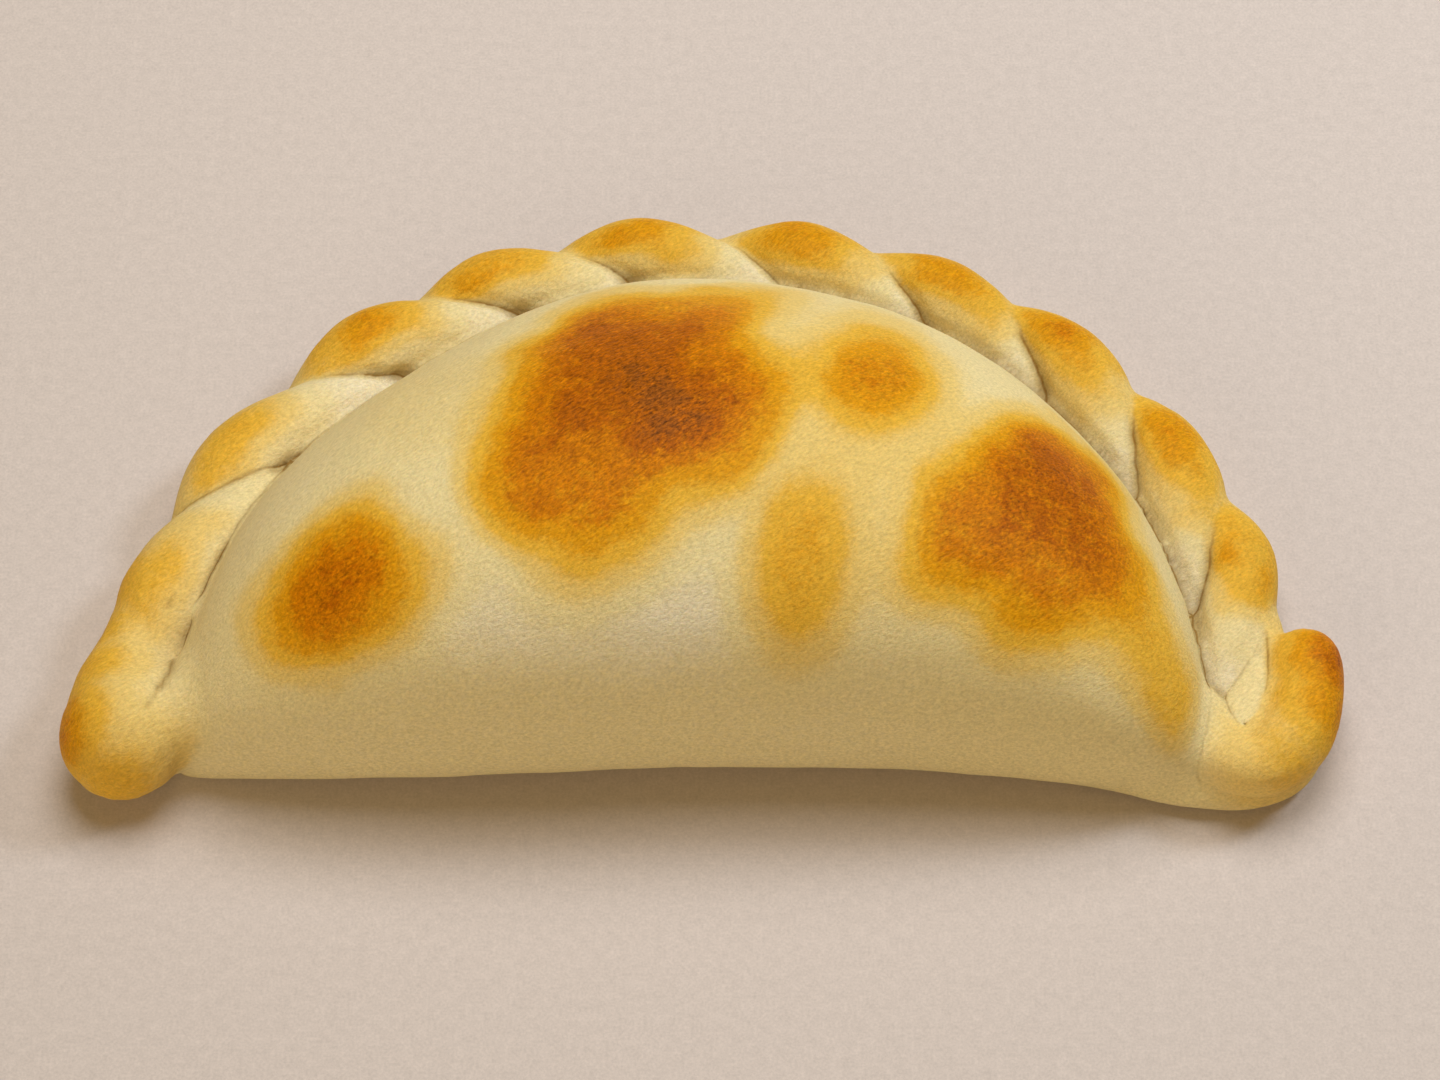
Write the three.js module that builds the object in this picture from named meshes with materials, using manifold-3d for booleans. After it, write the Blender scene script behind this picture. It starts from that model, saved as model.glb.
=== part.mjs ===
// A baked empanada: one disc of dough folded in half over its filling, with the round edge closed
// by a rope of overlapping folds. It lies on its flat base. Millimetres, +Z up, +X along the
// straight fold from the blunt left end to the curled right end, +Y from the fold to the rope,
// and the origin on the base, under the middle of the whole.
//
// The pouch is a skin over sections that stand across its length. Every fold of the rope, the
// blunt end, the curled end and the lip under it is a roll of dough: a round section swept along
// a short curve, thick in the middle and tapered to its ends. All of it is one piece of dough, so
// the rolls and the pouch are joined into one solid and trimmed level with the base.
import * as THREE from "three";
import { mergeVertices } from "three/addons/utils/BufferGeometryUtils.js";
import Module from "manifold-3d";

// ---- the folded disc ----
const DISC_CENTRE = new THREE.Vector2(0, -24.25); // the disc's own centre, near the straight fold
const SEAM_RADIUS = 56; // from that centre to the middle of the rope

// ---- the pouch ----
const POUCH_CENTRE = new THREE.Vector2(-0.9, -24.25); // a little left of the disc's
const POUCH_RADIUS = 51.6; // where the pouch's back runs in under the rope
const POUCH_HEIGHT = 31;
const HEIGHT_TAPER = 0.85; // how soon the height falls away to the two ends, 1 being a round end
const FRONT_TAPER = 0.2; // the same for the straight fold, which stays full nearly to its ends
const STRAIGHT_FOLD = [ // the fold's foremost line in plan, from left to right
  [-51.2, -33.2],
  [-25.2, -33.1],
  [-0.2, -32.1],
  [24.8, -32.7],
  [47.8, -35.4],
];
const CREST = 0.37; // the section's highest point, as a share of its depth from the fold
const FOLD_LEVEL = 0.36; // where the fold bulges furthest, as a share of the height
const SEAM_LEVEL = 0.18; // where the back meets the seam, likewise
const BACK_FULLNESS = 1.7; // the back's slope: 1 is a quarter ellipse, 2 a parabola
const FRONT_SQUARENESS = 4; // how square the fold turns into the flat base, 2 being round
const BACK_SQUARENESS = 8; // the same for the back
const WAVINESS = 0.3; // how far the baked skin rises and dips from its true form
const SAG = 0.7; // how far the base is pressed into the baking tray
const STATIONS = 60; // sections along the pouch
const SECTION_POINTS = 52; // points round a section

// ---- the rope ----
// One fold, as rows of: share of its span, outward of the seam, height, girth (a radius).
const FOLD = [
  [0.0, -1.0, 2.8, 2.0],
  [0.14, -0.4, 4.1, 3.2],
  [0.34, -0.4, 5.2, 4.4],
  [0.6, -1.7, 5.4, 3.9],
  [0.84, -3.8, 4.9, 2.8],
  [1.0, -5.0, 4.3, 2.0],
];
const FOLD_LEAD = 3.5; // degrees by which a fold starts behind its own notch
// Each fold as the notch where it shows first, the degrees it runs on to the right, and its
// girth against the fold above. Degrees are round the disc's centre, with 180 at the left.
const ROPE = [
  [174.2, 31, 1.0],
  [158.0, 30, 0.97],
  [138.5, 26, 0.98],
  [122.0, 25, 0.97],
  [106.0, 27, 1.03],
  [89.0, 28, 1.02],
  [73.7, 31, 1.0],
  [58.3, 33, 1.05],
  [41.6, 33, 1.02],
  [26.3, 30, 0.92],
  [11.5, 20, 0.72],
];
const CORE_GIRTH = 4.4; // the plain rim of dough that the folds are wound on
const CORE_HEIGHT = 1.6;
const CORE_INSET = 2.6; // how far it lies inside the seam's own circle
const CORE_REACH = [184, -4]; // degrees

// ---- the two ends, as rows of x, y, z and girth ----
const KNOB = [-57.1, -29.0, 5.8, 6.3];
const KNOB_ROOT = [
  [-57.2, -28.8, 5.8, 5.9],
  [-52.0, -26.4, 5.6, 5.0],
  [-45.2, -25.7, 6.8, 5.8],
];
const KNOB_STRAND = [
  [-56.9, -32.7, 5.8, 5.9],
  [-57.4, -27.7, 5.8, 5.7],
  [-57.7, -23.6, 5.6, 4.8],
  [-57.0, -19.2, 5.3, 4.0],
  [-55.6, -14.4, 5.1, 3.5],
  [-53.4, -9.7, 4.8, 2.8],
  [-49.7, -4.5, 4.4, 1.8],
];
const CURLED_END = [
  [46.8, -26.7, 5.0, 2.2],
  [50.1, -31.0, 5.6, 2.9],
  [54.0, -32.4, 5.8, 3.2],
  [57.8, -29.6, 6.0, 3.8],
  [59.6, -24.4, 6.3, 3.8],
  [59.5, -17.4, 6.5, 3.7],
];
const LIP = [
  [43.8, -32.2, 2.2, 2.0],
  [49.3, -32.7, 2.2, 2.2],
  [53.8, -32.8, 2.2, 2.2],
  [58.1, -30.8, 2.2, 2.2],
  [60.3, -26.7, 2.4, 2.0],
];

// ---- how finely the rolls are faceted ----
const FOLD_RINGS = 15; // rings along a short roll
const END_RINGS = 21; // rings along a bent one
const CORE_RINGS = 40;
const ROLL_SIDES = 14; // points round a ring
const KNOB_SEGMENTS = [22, 16]; // round and from top to bottom
const RAD = Math.PI / 180;

const wasm = await Module();
wasm.setup();

// The closed solid of a three.js geometry.
function solidOf(geometry) {
  const bare = new THREE.BufferGeometry();
  bare.setAttribute("position", geometry.getAttribute("position"));
  bare.setIndex(geometry.getIndex());
  const merged = mergeVertices(bare, 1e-4);
  const mesh = new wasm.Mesh({
    numProp: 3,
    vertProperties: new Float32Array(merged.getAttribute("position").array),
    triVerts: new Uint32Array(merged.getIndex().array),
  });
  return new wasm.Manifold(mesh);
}

// The three.js geometry of a solid.
function geometryOf(solid) {
  const mesh = solid.getMesh();
  const geometry = new THREE.BufferGeometry();
  geometry.setAttribute("position", new THREE.BufferAttribute(mesh.vertProperties, 3));
  geometry.setIndex(new THREE.BufferAttribute(mesh.triVerts, 1));
  geometry.computeVertexNormals();
  return geometry;
}

// A skin over closed rings of points, with a fan from each end ring to its own middle. Each ring
// turns anticlockwise, as seen from further along the row of rings.
function skin(rings) {
  const sides = rings[0].length;
  const points = rings.flat();
  const index = [];
  for (let ring = 0; ring + 1 < rings.length; ring++) {
    for (let side = 0; side < sides; side++) {
      const a = ring * sides + side;
      const b = ring * sides + ((side + 1) % sides);
      index.push(a, b, b + sides, a, b + sides, a + sides);
    }
  }
  for (const ring of [0, rings.length - 1]) {
    const middle = points.length;
    points.push(rings[ring].reduce((sum, p) => sum.add(p), new THREE.Vector3()).divideScalar(sides));
    for (let side = 0; side < sides; side++) {
      const a = ring * sides + side;
      const b = ring * sides + ((side + 1) % sides);
      index.push(...(ring === 0 ? [b, a, middle] : [a, b, middle]));
    }
  }
  const geometry = new THREE.BufferGeometry().setFromPoints(points);
  geometry.setIndex(index);
  return geometry;
}

// ---- the pouch ----

// A section across the pouch on a unit square: x is 0 at the fold and 1 at the seam, y is 0 on the
// tray and 1 at the crest. turn runs from the seam over the crest, round the fold and back below.
function unitSection(turn) {
  const c = Math.cos(turn);
  const s = Math.sin(turn);
  const behind = c >= 0;
  const reach = behind ? 1 - CREST : CREST;
  const level = behind ? SEAM_LEVEL : FOLD_LEVEL;
  if (s >= 0) {
    const fullness = behind ? BACK_FULLNESS : 1;
    return new THREE.Vector2(CREST + reach * c, level + (1 - level) * s ** fullness);
  }
  const square = (v) => Math.abs(v) ** (2 / (behind ? BACK_SQUARENESS : FRONT_SQUARENESS));
  return new THREE.Vector2(CREST + Math.sign(c) * reach * square(c), level * (1 - square(s)));
}

// The slow rise and fall of the baked skin, in shares of WAVINESS.
function wave(x, y) {
  return Math.sin(x / 8.7 + 1.3) * Math.cos(y / 7.1 + 0.4) + 0.6 * Math.sin(x / 5.3 - y / 6.1);
}

function pouch() {
  const frontLine = new THREE.SplineCurve(STRAIGHT_FOLD.map(([x, y]) => new THREE.Vector2(x, y)));
  const frontLeft = STRAIGHT_FOLD[0][0];
  const frontRight = STRAIGHT_FOLD[STRAIGHT_FOLD.length - 1][0];
  const rings = [];
  for (let station = 0; station <= STATIONS; station++) {
    const angle = Math.PI * ((station + 0.35) / (STATIONS + 0.7));
    const swell = Math.sin(angle); // 0 at the two ends, 1 in the middle
    const x = POUCH_CENTRE.x - POUCH_RADIUS * Math.cos(angle);
    const along = THREE.MathUtils.clamp((x - frontLeft) / (frontRight - frontLeft), 0, 1);
    const foremost = frontLine.getPoint(along).y - POUCH_CENTRE.y;
    const front = POUCH_CENTRE.y + foremost * swell ** FRONT_TAPER;
    const depth = POUCH_CENTRE.y + POUCH_RADIUS * swell - front;
    const height = (POUCH_HEIGHT + SAG) * swell ** HEIGHT_TAPER;
    rings.push(
      Array.from({ length: SECTION_POINTS }, (_, i) => {
        const unit = unitSection((2 * Math.PI * i) / SECTION_POINTS);
        const y = front + depth * unit.x;
        const dome = height * unit.y + WAVINESS * wave(x, y) * swell * unit.y;
        return new THREE.Vector3(x, y, dome - SAG);
      }),
    );
  }
  return solidOf(skin(rings));
}

// ---- the rolls of dough ----

// One ring of a roll, round its middle and square to the way it runs.
function ringOf(centre, tangent, radius) {
  const side = tangent.clone().cross(new THREE.Vector3(0, 0, 1)).normalize();
  const top = side.clone().cross(tangent).normalize();
  return Array.from({ length: ROLL_SIDES }, (_, i) => {
    const turn = (-2 * Math.PI * i) / ROLL_SIDES;
    return centre
      .clone()
      .addScaledVector(side, radius * Math.cos(turn))
      .addScaledVector(top, radius * Math.sin(turn));
  });
}

// A roll along rows of x, y, z and girth. Its two ends are rounded off within its own length, and
// its rings lie closer together there.
function roll(rows, ringCount) {
  const path = new THREE.CatmullRomCurve3(rows.map(([x, y, z]) => new THREE.Vector3(x, y, z)));
  const girths = new THREE.SplineCurve(rows.map((row, i) => new THREE.Vector2(i, row[3])));
  const length = path.getLength();
  const rings = Array.from({ length: ringCount }, (_, ring) => {
    const share = (1 - Math.cos((Math.PI * (ring + 0.3)) / (ringCount - 0.4))) / 2;
    const t = path.getUtoTmapping(share);
    const girth = girths.getPoint(t).y;
    const fromEnd = Math.min(share, 1 - share) * length;
    const short = 1 - Math.min(1, fromEnd / girth);
    return ringOf(path.getPoint(t), path.getTangent(t), girth * Math.sqrt(1 - short * short));
  });
  return solidOf(skin(rings));
}

function knob() {
  const [x, y, z, girth] = KNOB;
  return solidOf(new THREE.SphereGeometry(girth, ...KNOB_SEGMENTS).translate(x, y, z));
}

// A point given by degrees round the disc's centre, the distance outward of the seam and a height.
function aroundSeam(degrees, outward, height) {
  const radius = SEAM_RADIUS + outward;
  return [
    DISC_CENTRE.x + radius * Math.cos(degrees * RAD),
    DISC_CENTRE.y + radius * Math.sin(degrees * RAD),
    height,
  ];
}

function fold(notch, span, size) {
  const rows = FOLD.map(([share, outward, height, girth]) => {
    const degrees = notch + FOLD_LEAD - share * (span + FOLD_LEAD);
    return [...aroundSeam(degrees, outward, height), girth * size];
  });
  return roll(rows, FOLD_RINGS);
}

function core() {
  const [from, to] = CORE_REACH;
  const steps = 12;
  const rows = Array.from({ length: steps + 1 }, (_, i) => {
    const degrees = from + ((to - from) * i) / steps;
    return [...aroundSeam(degrees, -CORE_INSET, CORE_HEIGHT), CORE_GIRTH];
  });
  return roll(rows, CORE_RINGS);
}

// ---- the whole ----

function empanada() {
  const rolls = [
    core(),
    ...ROPE.map(([notch, span, size]) => fold(notch, span, size)),
    knob(),
    roll(KNOB_ROOT, FOLD_RINGS),
    roll(KNOB_STRAND, END_RINGS),
    roll(CURLED_END, END_RINGS),
    roll(LIP, FOLD_RINGS),
  ];
  const dough = rolls.reduce((whole, one) => whole.add(one), pouch());
  const tray = new THREE.BoxGeometry(4 * SEAM_RADIUS, 4 * SEAM_RADIUS, POUCH_HEIGHT);
  return dough.subtract(solidOf(tray.translate(0, 0, -POUCH_HEIGHT / 2)));
}

const crust = new THREE.MeshStandardMaterial({ color: 0xd9b36a, roughness: 0.62, metalness: 0 });
const mesh = new THREE.Mesh(geometryOf(empanada()), crust);
mesh.name = "empanada";

const root = new THREE.Group();
root.add(mesh);

export default root;
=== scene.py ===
# %% [markdown]
# # A baked empanada
#
# A disc of wheat dough is folded in half over its filling, and its round edge is closed by a rope
# of folds, each one turned over the one before. The oven leaves the dough cream and straw, with
# brown blisters where it rose nearest the heat and gold along the backs of the folds.
#
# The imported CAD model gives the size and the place. Here the same forms are modelled more finely,
# joined into one skin, and given the relief and the colours of a baked crust. The lengths are in
# millimetres, and a point becomes metres only when it is written into a mesh.

# %% Load the frame
import math

import bpy
import numpy as np
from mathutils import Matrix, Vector
from mathutils.bvhtree import BVHTree


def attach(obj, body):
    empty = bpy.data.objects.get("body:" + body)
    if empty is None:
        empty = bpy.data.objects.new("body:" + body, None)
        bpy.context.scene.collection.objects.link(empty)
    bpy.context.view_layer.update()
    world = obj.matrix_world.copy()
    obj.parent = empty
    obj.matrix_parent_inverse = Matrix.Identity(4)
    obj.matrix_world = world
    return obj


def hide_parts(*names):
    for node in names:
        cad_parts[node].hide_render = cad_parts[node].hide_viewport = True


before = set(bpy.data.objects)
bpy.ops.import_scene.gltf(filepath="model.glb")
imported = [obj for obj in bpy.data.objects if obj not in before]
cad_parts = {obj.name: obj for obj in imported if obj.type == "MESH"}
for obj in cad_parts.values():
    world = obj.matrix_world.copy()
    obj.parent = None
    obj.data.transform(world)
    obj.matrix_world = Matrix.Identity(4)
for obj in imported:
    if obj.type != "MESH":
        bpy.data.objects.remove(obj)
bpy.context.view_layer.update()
MM = 0.001

# %% [markdown]
# ## The camera
#
# The empanada is seen from the front, from well above it. An orthographic camera would show it
# without any perspective, but by eye its near side looks a little larger, so a long lens stands
# less than half a metre away.

# %% Camera
CAMERA_ELEVATION = math.radians(56)
CAMERA_DISTANCE = 404
LOOK_AT = Vector((1.6, -7.25, 8.0))

bpy.ops.object.camera_add(rotation=(math.pi / 2 - CAMERA_ELEVATION, 0, 0))
camera = bpy.context.object
towards_camera = Vector((0, -math.cos(CAMERA_ELEVATION), math.sin(CAMERA_ELEVATION)))
camera.location = (LOOK_AT + CAMERA_DISTANCE * towards_camera) * MM
camera.data.lens = 100
camera.data.sensor_width = 36
camera.data.clip_start = 0.01
bpy.context.scene.camera = camera
bpy.context.scene.view_settings.view_transform = "Standard"
print("camera at, mm:", [round(v / MM, 1) for v in camera.location])

# %% [markdown]
# ## Three small helpers
#
# Operators work on what is selected, so each step says first what it works on. The shapes that
# follow a rule are moved point by point: the points are read as one array, moved together and
# written back.

# %% Helpers for selecting and for moving points


def choose(*pieces):
    bpy.ops.object.select_all(action="DESELECT")
    for piece in pieces:
        piece.select_set(True)
    if pieces:
        bpy.context.view_layer.objects.active = pieces[0]


def points_of(piece):
    flat = np.empty(3 * len(piece.data.vertices))
    piece.data.vertices.foreach_get("co", flat)
    return flat.reshape(-1, 3) / MM


def move_points(piece, points):
    piece.data.vertices.foreach_set("co", (points * MM).ravel())
    piece.data.update()


choose()
print("selected now:", len(bpy.context.selected_objects))

# %% [markdown]
# ## The pouch
#
# The filling swells the folded dough into a half dome. Its front, where the disc is folded, is
# full and rounds under to the tray. Its back runs out flat to the closed edge. No operator gives
# that uneven section, so a sphere with its poles at the two ends is added and each of its points
# is moved to where the rule for the section puts it.

# %% Sizes of the pouch
POUCH_CENTRE = (-0.9, -24.25)
POUCH_RADIUS = 51.6
POUCH_HEIGHT = 30.95
STRAIGHT_FOLD = [(-51.2, -33.2), (-25.2, -33.1), (-0.2, -32.1), (24.8, -32.7), (47.8, -35.4)]
# How the height and the front run out towards the two ends: 1 as on a ball, less is fuller.
HEIGHT_TAPER = 0.85
FRONT_TAPER = 0.2
# Where the top of the section lies, as a share of its depth, and how high the fold and the seam
# lie, as shares of its height.
CREST = 0.37
FOLD_LEVEL = 0.36
SEAM_LEVEL = 0.18
# The curves of its four quarters: the upper back, the upper front, the lower front and the lower
# back.
BACK_FULLNESS = 1.7
FRONT_ROUNDNESS = 2.3
FRONT_SQUARENESS = 4
BACK_SQUARENESS = 8
# The height of its slow waves, and how far it reaches below the tray before it is cut level.
WAVINESS = 0.3
SAG = 0.7
# The back sinks in a little at the left: x of the middle, half width, mm inward, share of height.
HOLLOW = (-32, 15, 2.2, 0.06)
print("the pouch, mm:", 2 * POUCH_RADIUS, "long and", POUCH_HEIGHT, "high")

# %% A smooth path through a few rows of numbers
STEPS_PER_ROW = 40


def smooth_path(rows, shares):
    """Rows of x, y, z and girth, read at shares of the path's length, and that length."""
    rows = np.array(rows, dtype=float)
    before, after = 2 * rows[0] - rows[1], 2 * rows[-1] - rows[-2]
    rows = np.vstack([before, rows, after])
    along = np.linspace(0, 1, STEPS_PER_ROW, endpoint=False)[:, None]
    fine = []
    for p0, p1, p2, p3 in zip(rows, rows[1:], rows[2:], rows[3:]):
        pairs = (p0, p1), (p1, p2), (p2, p3)
        d0, d1, d2 = (np.linalg.norm((b - a)[:3]) ** 0.5 for a, b in pairs)
        leave = ((p1 - p0) / d0 - (p2 - p0) / (d0 + d1) + (p2 - p1) / d1) * d1
        reach = ((p2 - p1) / d1 - (p3 - p1) / (d1 + d2) + (p3 - p2) / d2) * d1
        bend = -3 * p1 + 3 * p2 - 2 * leave - reach
        close = 2 * p1 - 2 * p2 + leave + reach
        fine.append(p1 + leave * along + bend * along**2 + close * along**3)
    fine = np.vstack([*fine, rows[-2:-1]])
    steps = np.linalg.norm(np.diff(fine[:, :3], axis=0), axis=1)
    length = np.concatenate([[0], np.cumsum(steps)])
    at = np.asarray(shares) * length[-1]
    return np.stack([np.interp(at, length, column) for column in fine.T], axis=1), length[-1]


fold_rows = np.pad(np.array(STRAIGHT_FOLD), ((0, 0), (0, 2)))
fold_line, fold_length = smooth_path(fold_rows, np.linspace(0, 1, 200))
print("length of the straight fold, mm:", fold_length.round(1))

# %% The rule for the section


def pouch_points(ball):
    """Where each point of a ball of the pouch's radius goes."""
    angle = np.arccos(np.clip(-ball[:, 0] / POUCH_RADIUS, -1, 1))
    turn = np.arctan2(ball[:, 2], ball[:, 1])
    c, s = np.cos(turn), np.sin(turn)
    behind = c >= 0
    reach = np.where(behind, 1 - CREST, CREST)
    level = np.where(behind, SEAM_LEVEL, FOLD_LEVEL)
    fullness = np.where(behind, BACK_FULLNESS, 2 / FRONT_ROUNDNESS)
    reaching = np.where(behind, 1, 2 / FRONT_ROUNDNESS)
    squareness = 2 / np.where(behind, BACK_SQUARENESS, FRONT_SQUARENESS)
    above = s >= 0
    across = np.sign(c) * np.abs(c) ** np.where(above, reaching, squareness)
    rise = (1 - level) * np.abs(s) ** fullness
    up = np.where(above, level + rise, level * (1 - np.abs(s) ** squareness))

    swell = np.sin(angle)
    x = POUCH_CENTRE[0] - POUCH_RADIUS * np.cos(angle)
    foremost = np.interp(x, fold_line[:, 0], fold_line[:, 1]) - POUCH_CENTRE[1]
    front = POUCH_CENTRE[1] + foremost * swell**FRONT_TAPER
    depth = POUCH_CENTRE[1] + POUCH_RADIUS * swell - front
    y = front + depth * (CREST + reach * across)
    wave = np.sin(x / 8.7 + 1.3) * np.cos(y / 7.1 + 0.4) + 0.6 * np.sin(x / 5.3 - y / 6.1)
    middle, width, inward, lower = HOLLOW
    hollow = np.exp(-(((x - middle) / width) ** 2)) * np.clip(across, 0, 1)
    height = (POUCH_HEIGHT + SAG) * swell**HEIGHT_TAPER * (1 - lower * hollow)
    z = height * up + WAVINESS * wave * swell * up - SAG
    return np.stack([x, y - inward * hollow, z], axis=1)


# %% The pouch
choose()
bpy.ops.mesh.primitive_uv_sphere_add(
    segments=160, ring_count=120, radius=POUCH_RADIUS * MM, rotation=(0, math.pi / 2, 0)
)
pouch = bpy.context.object
bpy.ops.object.transform_apply(rotation=True)
move_points(pouch, pouch_points(points_of(pouch)))
print("pouch, mm:", points_of(pouch).min(0).round(1), points_of(pouch).max(0).round(1))

# %% [markdown]
# ## One roll of dough
#
# Every fold of the rope, and each of the two ends, is a roll: thick in its middle and rounded off
# at its ends. A bevelled curve would make one, but with blunt ends. So one straight roll is
# modelled, a filled circle extruded ring by ring, and each place gets its own copy, laid along a
# curve and given its thickness there.

# %% The straight roll
ROLL_SIDES = 36
ROLL_RINGS = 48

choose()
bpy.ops.mesh.primitive_circle_add(
    vertices=ROLL_SIDES, radius=1, fill_type="TRIFAN", rotation=(0, math.pi / 2, 0)
)
straight_roll = bpy.context.object
bpy.ops.object.transform_apply(rotation=True)
bpy.ops.object.mode_set(mode="EDIT")
bpy.ops.mesh.select_all(action="SELECT")
for ring in range(ROLL_RINGS):
    bpy.ops.mesh.extrude_region_move(TRANSFORM_OT_translate={"value": (1 / ROLL_RINGS, 0, 0)})
bpy.ops.mesh.select_all(action="SELECT")
bpy.ops.mesh.normals_make_consistent(inside=False)
bpy.ops.object.mode_set(mode="OBJECT")
print("straight roll:", len(straight_roll.data.vertices), "points")

# %% Laying a copy of it along a curve
rolls = []


def frame_along(path):
    """The directions across and above a path, seen along it."""
    tangent = np.gradient(path[:, :3], axis=0)
    tangent /= np.linalg.norm(tangent, axis=1)[:, None]
    side = np.cross(tangent, (0, 0, 1))
    side /= np.linalg.norm(side, axis=1)[:, None]
    return side, np.cross(side, tangent)


def lay_roll(name, rows):
    """A copy of the straight roll through rows of x, y, z and girth."""
    piece = straight_roll.copy()
    piece.data = straight_roll.data.copy()
    piece.name = name
    bpy.context.collection.objects.link(piece)
    straight = points_of(piece) * MM
    rings = np.round(straight[:, 0] * ROLL_RINGS).astype(int)
    shares = (1 - np.cos(math.pi * np.linspace(0, 1, ROLL_RINGS + 1))) / 2
    path, length = smooth_path(rows, shares)
    from_end = np.minimum(shares, 1 - shares) * length
    short = 1 - np.minimum(1, from_end / path[:, 3])
    side, top = frame_along(path)
    girth = path[:, 3] * np.sqrt(1 - short**2)
    offset = side[rings] * straight[:, 1:2] + top[rings] * straight[:, 2:3]
    move_points(piece, path[rings, :3] + offset * girth[rings, None])
    rolls.append({"piece": piece, "rows": rows, "length": length, "name": name})


print("rolls laid so far:", len(rolls))

# %% [markdown]
# ## The rope
#
# The rim of the disc is turned in over itself again and again, from the left to the right. Each
# turn rises out of a notch on the outside, lies thick and round on top, and runs inward to a tail
# that sinks in beside the pouch. An array round the disc would make all the folds alike, and
# these differ. So one fold is written as rows round the seam, and each place in the rope gives it
# its own notch, span and size. A plain rim lies under them all.

# %% Rows of the rope
DISC_CENTRE = (0, -24.25)
SEAM_RADIUS = 56
# One fold: share of its span, outward of the seam, height and girth.
FOLD = [
    (0.0, -1.0, 2.8, 2.0),
    (0.16, -0.8, 3.9, 3.2),
    (0.40, -0.8, 4.9, 4.9),
    (0.54, -1.5, 5.2, 4.8),
    (0.67, -2.9, 5.6, 4.2),
    (0.84, -4.5, 5.6, 3.4),
    (1.0, -5.7, 4.5, 2.5),
]
# A fold starts this many degrees before its notch.
FOLD_LEAD = 3.5
# Each fold: the degrees of its notch, its span in degrees, its size and how far out it lies.
ROPE = [
    (179.5, 31.5, 1.00, 0.20),
    (161.0, 30.0, 0.97, 0.30),
    (139.4, 26.0, 0.97, -0.10),
    (122.9, 25.0, 0.95, 0.00),
    (106.6, 25.0, 1.00, -0.05),
    (88.9, 26.3, 1.00, -0.05),
    (74.5, 30.2, 0.99, 0.00),
    (59.1, 30.8, 1.04, 0.00),
    (42.1, 31.0, 1.02, 0.00),
    (25.7, 26.0, 0.92, 0.50),
]
# The plain rim: how far inward of the seam it lies, and its first and last degrees.
RIM_GIRTH = 4.4
RIM_HEIGHT = 1.6
RIM_INSET = 2.6
RIM_REACH = (184, -4)


def round_seam(degrees, outward, height):
    """The point at this many degrees round the seam."""
    radius = SEAM_RADIUS + outward
    angle = math.radians(degrees)
    x = DISC_CENTRE[0] + radius * math.cos(angle)
    return x, DISC_CENTRE[1] + radius * math.sin(angle), height


print("first notch at, mm:", [round(v, 1) for v in round_seam(ROPE[0][0], 0, 0)])

# %% Rim and folds
rim_rows = [
    (*round_seam(degrees, -RIM_INSET, RIM_HEIGHT), RIM_GIRTH)
    for degrees in np.linspace(*RIM_REACH, 13)
]
lay_roll("rim", rim_rows)
for number, (notch, span, size, out) in enumerate(ROPE):
    start = notch + FOLD_LEAD
    rows = [
        (*round_seam(start - share * (span + FOLD_LEAD), outward + out, height), girth * size)
        for share, outward, height, girth in FOLD
    ]
    lay_roll(f"fold_{number}", rows)
print("folds in the rope:", len(ROPE), "| lengths, mm:", [round(r["length"], 1) for r in rolls])

# %% [markdown]
# ## The two ends
#
# The rope starts at the left as a blunt knob, pinched out of the corner of the dough, and a long
# strand runs from it up the side. At the right its last turn is only a flat strip, and the tail
# beside that is curled forward and up, with the thin edge of the bottom sheet showing under it as
# a lip. Nothing here repeats, so each of these rolls has rows of its own.

# %% Rows of the knob, the strand, the last turn, the curl and the lip
# Each row: x, y, z and girth.
KNOB = (-57.06, -29.0, 5.8, 6.3)
KNOB_ROOT = [(-57.2, -28.8, 5.8, 5.9), (-52.0, -26.4, 5.6, 5.0), (-45.2, -25.7, 6.8, 5.8)]
KNOB_STRAND = [
    (-56.86, -32.7, 5.8, 5.9),
    (-57.4, -27.7, 5.8, 5.7),
    (-57.7, -23.6, 5.6, 4.8),
    (-57.0, -19.2, 5.3, 3.6),
    (-55.6, -14.4, 5.1, 3.5),
    (-53.4, -9.7, 4.8, 2.8),
    (-49.7, -4.5, 4.4, 1.8),
]
LAST_TURN = [
    (54.9, -12.3, 4.6, 2.4),
    (56.0, -16.6, 4.9, 2.3),
    (55.4, -20.8, 5.2, 2.5),
    (53.9, -24.9, 5.3, 2.4),
    (52.7, -28.8, 4.9, 2.2),
]
CURLED_END = [
    (48.8, -20.5, 4.2, 2.4),
    (49.1, -24.5, 4.7, 2.6),
    (49.7, -28.3, 5.2, 2.9),
    (50.9, -31.1, 5.6, 2.9),
    (54.0, -32.4, 5.8, 3.2),
    (57.8, -29.6, 6.0, 3.8),
    (59.5, -24.4, 6.3, 3.8),
    (59.5, -17.4, 6.5, 3.7),
]
LIP = [
    (34.0, -30.6, 2.2, 1.2),
    (41.0, -31.4, 2.2, 1.7),
    (45.5, -32.3, 2.2, 2.0),
    (49.3, -32.7, 2.2, 2.2),
    (53.8, -32.8, 2.2, 2.2),
    (58.1, -30.8, 2.2, 2.2),
    (60.3, -26.7, 2.4, 2.0),
]
ENDS = {
    "knob_root": KNOB_ROOT,
    "knob_strand": KNOB_STRAND,
    "last_turn": LAST_TURN,
    "curled_end": CURLED_END,
    "lip": LIP,
}
print("rolls at the two ends:", len(ENDS))

# %% The two ends
choose()
bpy.ops.mesh.primitive_uv_sphere_add(
    segments=48, ring_count=32, radius=KNOB[3] * MM, location=[v * MM for v in KNOB[:3]]
)
knob = bpy.context.object
bpy.ops.object.transform_apply(location=True)
for name, rows in ENDS.items():
    lay_roll(name, rows)
print("rolls in all:", len(rolls))

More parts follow.
